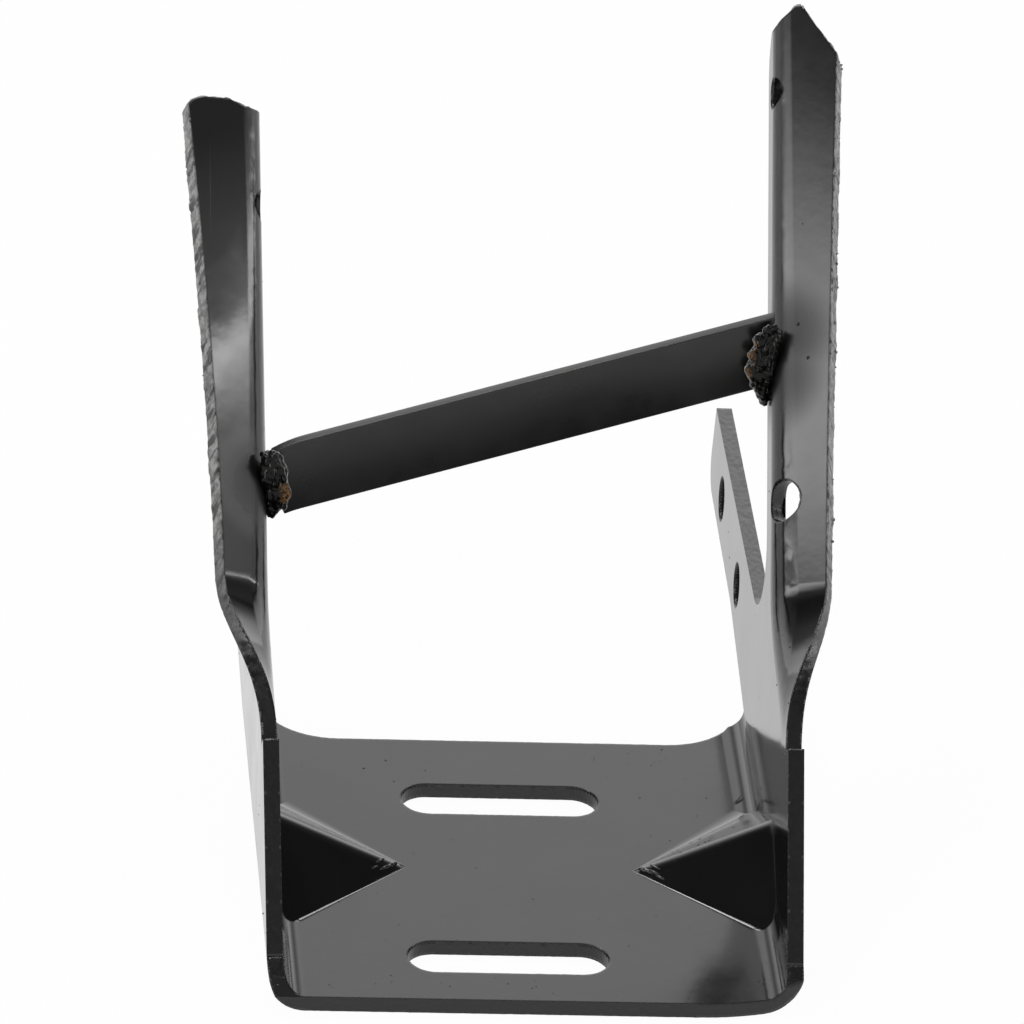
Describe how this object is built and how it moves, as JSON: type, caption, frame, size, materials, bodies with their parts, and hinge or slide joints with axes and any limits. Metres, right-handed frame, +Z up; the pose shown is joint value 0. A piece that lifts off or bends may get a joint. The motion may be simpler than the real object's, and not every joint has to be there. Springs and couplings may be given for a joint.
{
  "type": "bumper bracket",
  "caption": "Sheet-metal bumper bracket: a U-shaped slotted base with sloping flanged arms, drilled rear tabs, pressed gussets and a welded brace bar across the arms.",
  "frame": {"origin": "centre of the underside of the base plate", "axes": "+X across the part to the longer arm's side, +Y from the front edge of the base to the rear tabs, +Z up from the base"},
  "size_m": [0.1669, 0.2344, 0.1699],
  "materials": {
    "bracket_paint": "gloss",
    "brace_paint": "gloss",
    "weld_paint": "gloss"
  },
  "bodies": {
    "root": {"stamped_bracket": "bracket_paint", "brace_bar": "brace_paint", "left_weld": "weld_paint", "right_weld": "weld_paint"}
  },
  "joints": []
}
